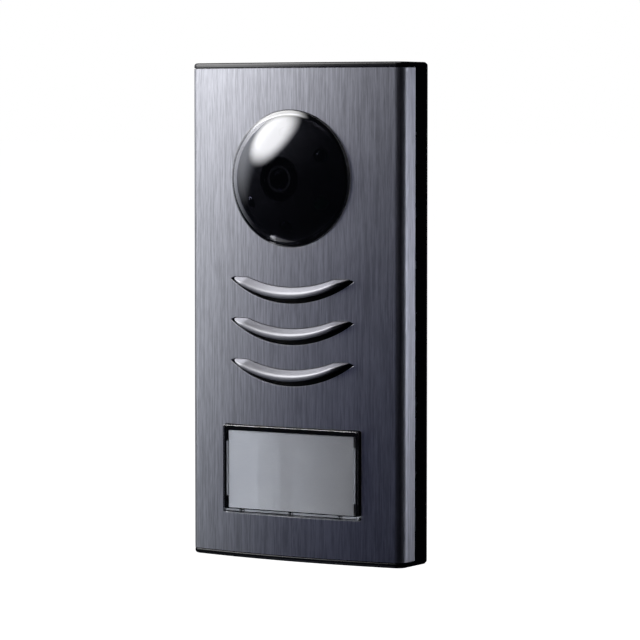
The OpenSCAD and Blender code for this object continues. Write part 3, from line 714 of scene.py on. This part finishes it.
def make_button_window():
    """Clear cover of the name plate: rounded front edges, a skirt along the foot and two ribs."""
    front, back = -window_low.y, 22.9 * MM
    rib_back, skirt_back = 21.7 * MM, 18 * MM
    w, h = window_high.x - window_low.x, window_high.z - window_low.z
    foot = window_low.z
    soft = 0.4 * MM
    out = Vector((0, -1, 0))

    def at(point, depth):
        return Vector((point[0], -depth, point[1]))

    def ring(inset, depth, tilt):
        """The cover's outline at a depth, with normals tilted towards the front."""
        loop = round_rect(w - 2 * inset, h - 2 * inset, WINDOW_CORNER_R - inset, WINDOW_Z)
        return [(at(p, depth), Vector((nx * math.cos(tilt), -math.sin(tilt), nz * math.cos(tilt))))
                for p, (nx, nz) in zip(loop, outward(loop))]

    def walls(loop, near, far):
        for a, b in zip(loop, loop[1:] + loop[:1]):
            faces.append(flat([at(a, near), at(b, near), at(b, far), at(a, far)]))

    faces = []
    turns = [math.radians(15 * i) for i in range(7)]
    rings = [ring(0, back, 0)] + [ring(soft * (1 - math.cos(t)), front - soft + soft * math.sin(t), t)
                                  for t in turns]
    for a, b in zip(rings, rings[1:]):
        for i in range(len(a)):
            j = (i + 1) % len(a)
            faces.append([a[i], a[j], b[j], b[i]])
    slots = [rectangle(1.8 * MM, 0.8 * MM, x, foot + 0.8 * MM) for x in SLOT_XS]
    skirt = rectangle(w - 2 * MM, 1.2 * MM, 0, foot + 0.75 * MM)
    ribs = [rectangle(0.8 * MM, RIB_H, x, WINDOW_Z) for x in (-RIB_X, RIB_X)]
    made, triangles = fill([(p.x, p.z) for p, _ in rings[-1]], slots)
    faces += [[(at(made[i], front), out) for i in face] for face in triangles]
    made, triangles = fill([(p.x, p.z) for p, _ in rings[0]], [skirt, *ribs])
    faces += [[(at(made[i], back), -out) for i in reversed(face)] for face in triangles]
    made, triangles = fill(skirt, slots)
    faces += [[(at(made[i], skirt_back), -out) for i in reversed(face)] for face in triangles]
    walls(skirt, skirt_back, back)
    for rib in ribs:
        walls(rib, rib_back, back)
        faces.append([(at(p, rib_back), -out) for p in reversed(rib)])
    for slot in slots:
        walls(slot[::-1], skirt_back, front)
    cover = from_faces("clear_cover", faces, "call_button", "clear_cover", ["button_window"])
    cover.visible_shadow = False
    return cover


def make_springs():
    """The call button's two return springs, with closed end coils, at their rest length."""
    bm = bmesh.new()
    low, rise = SPRING_FOOT + SPRING_WIRE, SPRING_LENGTH - 2 * SPRING_WIRE
    steps, sides = 216, 12
    end_pitch = 2.2 * SPRING_WIRE
    pitch = (rise / 2 - end_pitch) / (SPRING_TURNS / 2 - 1)
    for x in (-SPRING_X, SPRING_X):
        rows = []
        for i in range(steps + 1):
            turns = SPRING_TURNS * i / steps
            from_end = min(turns, SPRING_TURNS - turns)
            height = end_pitch * from_end if from_end < 1 else end_pitch + pitch * (from_end - 1)
            height = height if turns < SPRING_TURNS / 2 else rise - height
            a = 2 * math.pi * turns
            row = []
            for j in range(sides):
                b = 2 * math.pi * j / sides
                r = SPRING_R + SPRING_WIRE * math.cos(b)
                row.append(Vector((x + r * math.cos(a), -(low + height + SPRING_WIRE * math.sin(b)),
                                   WINDOW_Z + r * math.sin(a))))
            rows.append(row)
        grid = add_strip(bm, rows, closed_rows=True)
        bm.faces.new(grid[0])
        bm.faces.new(grid[-1])
    springs = from_bmesh("coil_springs", bm, "panel", "spring_steel", ["return_springs"])
    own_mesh(springs)


def make_cover_painted_glints():
    """Light grey plates at the clear cover's foot and side ribs, seen through its front: painted
    glints that stand in for the light these clear parts refract.
    """
    bm = bmesh.new()
    back, soft, front = 21.8 * MM, 0.15 * MM, 22.85 * MM
    # The foot lies between the slots.
    ends = [-30.6 * MM, *(x + side * 1.2 * MM for x in SLOT_XS for side in (-1, 1)), 30.6 * MM]
    plates = [(a, b, window_low.z + 0.85 * MM, 0.9 * MM) for a, b in zip(ends[::2], ends[1::2])]
    plates += [(x - 0.35 * MM, x + 0.35 * MM, WINDOW_Z, RIB_H) for x in (-RIB_X, RIB_X)]
    for a, b, z, h in plates:
        rows = [[Vector((x, -depth, z + side * (h / 2 - inset))) for side in (-1, 1)]
                for x, depth, inset in ((a, back, 0), (a, front - soft, 0), (a + soft, front, soft),
                                        (b - soft, front, soft), (b, front - soft, 0), (b, back, 0))]
        grid = add_strip(bm, rows, closed=True)
        bm.faces.new([pair[0] for pair in grid])
        bm.faces.new([pair[1] for pair in reversed(grid)])
    # Painted glints: the plates take a light grey colour in place of the clear cover's refracted
    # light.
    from_bmesh("cover_painted_glints", bm, "call_button", "clear_cover").data.materials[0] = GLINT_PAINT


def make_label():
    """The name card: flat, with normals that lean as if it bowed a little between its edges, as a
    slipped-in card does.
    """
    low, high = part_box("name_label")
    bow, steps = 0.25, 24
    faces = []

    def wall(a, b):
        """A quad through the card's thickness, between two (x, z) points on its front."""
        faces.append(flat([Vector((x, y, z)) for (x, z), y in
                           ((b, low.y), (a, low.y), (a, high.y), (b, high.y))]))

    columns = [low.x + (high.x - low.x) * i / steps for i in range(steps + 1)]
    for a, b in zip(columns, columns[1:]):
        corners = [(a, low.z), (b, low.z), (b, high.z), (a, high.z)]
        leans = [bow * x / high.x for x, _ in corners]
        faces.append([(Vector((x, low.y, z)), Vector((math.sin(lean), -math.cos(lean), 0)))
                      for (x, z), lean in zip(corners, leans)])
        faces.append(flat([Vector((x, high.y, z)) for x, z in reversed(corners)]))
        wall((a, low.z), (b, low.z))
        wall((b, high.z), (a, high.z))
    wall((high.x, low.z), (high.x, high.z))
    wall((low.x, high.z), (low.x, low.z))
    return from_faces("name_card", faces, "call_button", "label_sheet", ["name_label"])


# ---- stage ----------------------------------------------------------------------------------

def make_camera():
    """The camera: a long lens, to the right of the panel and a little above its middle."""
    azimuth, elevation = math.radians(31.774), math.radians(3.397)
    target, distance = Vector((6.807, -12.0, -3.128)) * MM, 1363.55 * MM
    back = Vector((math.sin(azimuth) * math.cos(elevation), -math.cos(azimuth) * math.cos(elevation),
                   math.sin(elevation)))
    data = bpy.data.cameras.new("camera")
    data.lens = 192.9
    data.clip_start = 0.05
    camera = bpy.data.objects.new("camera", data)
    camera.location = target + back * distance
    camera.rotation_mode = "QUATERNION"
    camera.rotation_quaternion = (-back).to_track_quat("-Z", "Y")
    bpy.context.scene.collection.objects.link(camera)
    bpy.context.scene.camera = camera


def add_light(name, azimuth, elevation, distance, width, height, power, colour=(1, 1, 1), soft=0.4,
              pieces=(), only=False):
    """Round soft box that faces the panel's middle and fades towards its edge.

    Angles are in degrees from the front, sizes in metres and power in watts; soft is the share of
    its radius that fades. It lights everything but the pieces, as if a flag stood in front of them,
    or only the pieces.
    """
    a, e = math.radians(azimuth), math.radians(elevation)
    out = Vector((math.sin(a) * math.cos(e), -math.cos(a) * math.cos(e), math.sin(e)))
    data = bpy.data.lights.new(name, "AREA")
    data.shape = "RECTANGLE"
    data.size, data.size_y = width, height
    data.energy = power
    data.color = colour
    light = bpy.data.objects.new(name, data)
    light.location = out * distance
    light.rotation_mode = "QUATERNION"
    light.rotation_quaternion = out.to_track_quat("Z", "Y")
    bpy.context.scene.collection.objects.link(light)
    data.use_nodes = True
    nodes, links = data.node_tree.nodes, data.node_tree.links
    away = nodes.new("ShaderNodeVectorMath")
    away.operation = "DISTANCE"
    links.new(nodes.new("ShaderNodeNewGeometry").outputs["Parametric"], away.inputs[0])
    away.inputs[1].default_value = (0.5, 0.5, 0)
    ramp = nodes.new("ShaderNodeMapRange")
    ramp.interpolation_type = "SMOOTHSTEP"
    ramp.inputs["From Min"].default_value = 0.5
    ramp.inputs["From Max"].default_value = 0.5 * (1 - soft)
    links.new(away.outputs["Value"], ramp.inputs["Value"])
    links.new(ramp.outputs[0], nodes["Emission"].inputs["Strength"])
    if pieces:
        named = bpy.data.collections.new(name + "_pieces")
        for one in pieces:
            named.objects.link(one)
        for entry in named.collection_objects:
            entry.light_linking.link_state = "INCLUDE" if only else "EXCLUDE"
        light.light_linking.receiver_collection = named


def make_floor():
    """A plain white floor, which doesn't light the object or show in it."""
    mesh = bpy.data.meshes.new("floor")
    size, level = 40.0, -0.30
    mesh.from_pydata([(-size, -size, level), (size, -size, level), (size, size, level),
                      (-size, size, level)], [], [(0, 1, 2, 3)])
    floor = bpy.data.objects.new("floor", mesh)
    bpy.context.scene.collection.objects.link(floor)
    paper = moulded("floor_paper", (0.82, 0.82, 0.83), 0.9, 0.02, size=40)
    bsdf = paper.node_tree.nodes["Principled BSDF"]
    bsdf.inputs["Emission Color"].default_value = (1, 1, 1, 1)
    bsdf.inputs["Emission Strength"].default_value = 1.0
    floor.data.materials.append(paper)
    floor.visible_glossy = False
    floor.visible_diffuse = False
    floor.visible_transmission = False


def make_world():
    """A studio that is white to the camera and almost dark to the object."""
    world = bpy.data.worlds.new("studio")
    world.use_nodes = True
    nodes, links = world.node_tree.nodes, world.node_tree.links
    seen = nodes.new("ShaderNodeBackground")
    seen.inputs["Color"].default_value = (1, 1, 1, 1)
    seen.inputs["Strength"].default_value = 1.0
    around = nodes["Background"]
    around.inputs["Color"].default_value = (0.6, 0.68, 1.0, 1)
    around.inputs["Strength"].default_value = 0.006
    rays = nodes.new("ShaderNodeLightPath")
    blend = nodes.new("ShaderNodeMixShader")
    links.new(rays.outputs["Is Camera Ray"], blend.inputs[0])
    links.new(around.outputs[0], blend.inputs[1])
    links.new(seen.outputs[0], blend.inputs[2])
    links.new(blend.outputs[0], nodes["World Output"].inputs["Surface"])
    bpy.context.scene.world = world
    bpy.context.scene.view_settings.view_transform = "Standard"


def make_lights(glossy, card, black):
    """The soft boxes; the glossy pieces show only some, and the black ones aren't lit from behind."""
    add_light("key", -64, 43, 1.1, 1.4, 1.4, 22, soft=0.6)
    add_light("left", -92, 22, 1.1, 1.4, 1.8, 5, (0.9, 0.93, 1.0), 1.0)
    add_light("front", -58, 11, 1.1, 1.4, 1.0, 4.3, (1.0, 1.0, 1.0), 1.0, glossy)
    add_light("middle", -43, 14, 1.1, 0.9, 0.6, 4.2, (0.97, 0.98, 1.0), 0.9, glossy)
    add_light("beside", -63, -3, 1.1, 0.45, 0.9, 1.6, (0.9, 0.95, 1.0), 0.8, glossy)
    add_light("sky", -28, 0, 1.1, 1.6, 1.2, 0.35, (0.12, 0.2, 1.0), 0.9, glossy)
    add_light("low", -42, -50, 1.1, 1.2, 0.8, 1.0, (0.7, 0.78, 1.0), 0.9, glossy)
    add_light("card", -66, -2, 1.1, 0.6, 0.8, 14, (0.85, 0.92, 1.0), 0.8, [card], True)
    add_light("top", -20, 87, 1.1, 0.9, 0.9, 5, (1.0, 1.0, 1.0), 0.8, glossy)
    add_light("back", 195, 25, 1.2, 0.9, 1.2, 14, pieces=black)
    add_light("side", 130, -1, 1.2, 0.3, 0.8, 4.0, (0.85, 0.88, 1.0), 0.9, black)


make_camera()
make_front_cover()
make_louvre_hoods()
SCREW_BORES = [(side * 30 * MM, 9 * MM, 3 * MM, 1.6 * MM, 1.4 * MM) for side in (-1, 1)]
LOCK_BORE = (0, 4.6 * MM, 3 * MM, 3 * MM, 1.2 * MM)
MICROPHONE_BORE = (20 * MM, 11.5 * MM, 1 * MM, 1 * MM, 2.2 * MM)
MOULDINGS = [make_end_cap(1, "top_cap", SCREW_BORES),
             make_end_cap(-1, "bottom_cap", SCREW_BORES + [LOCK_BORE, MICROPHONE_BORE])]
make_springs()
make_cover_painted_glints()
GLOSSY = [make_button_window(), make_dome()]
CARD = make_label()
make_floor()
make_world()
make_lights(GLOSSY, CARD, MOULDINGS + [frame["nodes"]["rear_housing"]])
